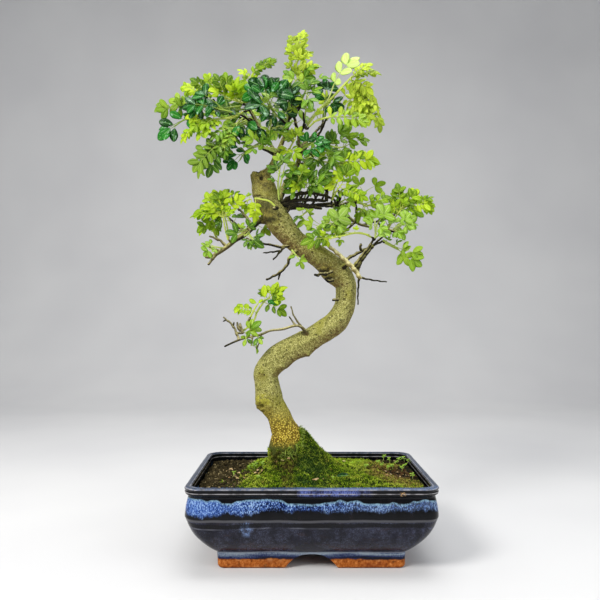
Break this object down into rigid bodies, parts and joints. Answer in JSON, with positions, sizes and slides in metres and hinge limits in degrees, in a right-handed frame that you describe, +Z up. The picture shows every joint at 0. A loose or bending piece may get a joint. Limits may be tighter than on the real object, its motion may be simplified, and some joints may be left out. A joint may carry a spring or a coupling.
{
  "type": "chinese pepper bonsai",
  "caption": "Informal upright bonsai tree with an S-shaped trunk and pinnate leafy shoots, standing in mossy soil in an oblong glazed stoneware pot on a recessed foot.",
  "frame": {"origin": "middle of the whole tree's box, at the level of the pot's foot", "axes": "+X to the viewer's right along the pot's long side, +Y from the front to the back, +Z up"},
  "size_m": [0.3313, 0.19, 0.5923],
  "materials": {
    "glaze": "gloss",
    "soil": "matte",
    "moss": "matte",
    "black_plastic": "matte",
    "bark": "matte",
    "leaf_young": "satin",
    "leaf_pale": "satin",
    "leaf_mid": "satin",
    "leaf_dark": "gloss"
  },
  "bodies": {
    "root": {"pot": "glaze", "soil": "soil", "moss": "moss", "drainage_mesh_left": "black_plastic", "drainage_mesh_right": "black_plastic", "trunk": "bark", "spray_top_spire": "leaf_young", "spray_top_centre": "leaf_mid", "spray_upper_right_pale": "leaf_pale", "spray_upper_right_arch": "leaf_young", "spray_right_low_fan": "leaf_mid", "spray_right_dark": "leaf_dark", "spray_right_mid": "leaf_mid", "spray_right_glossy": "leaf_dark", "spray_right_point": "leaf_young", "spray_right_hanging": "leaf_young", "spray_under_right": "leaf_mid", "spray_long_arch": "leaf_young", "spray_right_inner": "leaf_pale", "spray_right_outer": "leaf_pale", "spray_right_far": "leaf_young", "spray_right_fallen": "leaf_mid", "spray_right_upper": "leaf_mid", "spray_beside_trunk_right": "leaf_mid", "spray_left_main": "leaf_young", "spray_left_drooping": "leaf_young", "spray_left_mid": "leaf_mid", "spray_trunk_arch": "leaf_young", "spray_left_under": "leaf_mid", "spray_left_behind": "leaf_mid", "spray_left_tip": "leaf_pale", "spray_crown_left_top": "leaf_young", "spray_crown_left_low": "leaf_young", "spray_crown_left_far": "leaf_dark", "spray_crown_left_pale": "leaf_pale", "spray_crown_left_glossy": "leaf_dark", "spray_crown_hanging": "leaf_mid", "spray_crown_under_dark": "leaf_dark", "spray_crown_under_mid": "leaf_mid", "spray_crown_centre_dark": "leaf_dark", "spray_crown_centre_low": "leaf_dark", "spray_crown_bright": "leaf_young", "spray_crown_left_inner": "leaf_mid", "spray_trunk_top": "leaf_mid", "spray_trunk_shade": "leaf_mid", "spray_back_top": "leaf_mid", "spray_back_crown": "leaf_dark", "spray_back_right": "leaf_young", "spray_back_centre": "leaf_mid", "spray_back_low": "leaf_mid", "spray_back_left": "leaf_young", "spray_back_far": "leaf_mid", "spray_low_left_top": "leaf_young", "spray_low_left_under": "leaf_mid"}
  },
  "joints": []
}
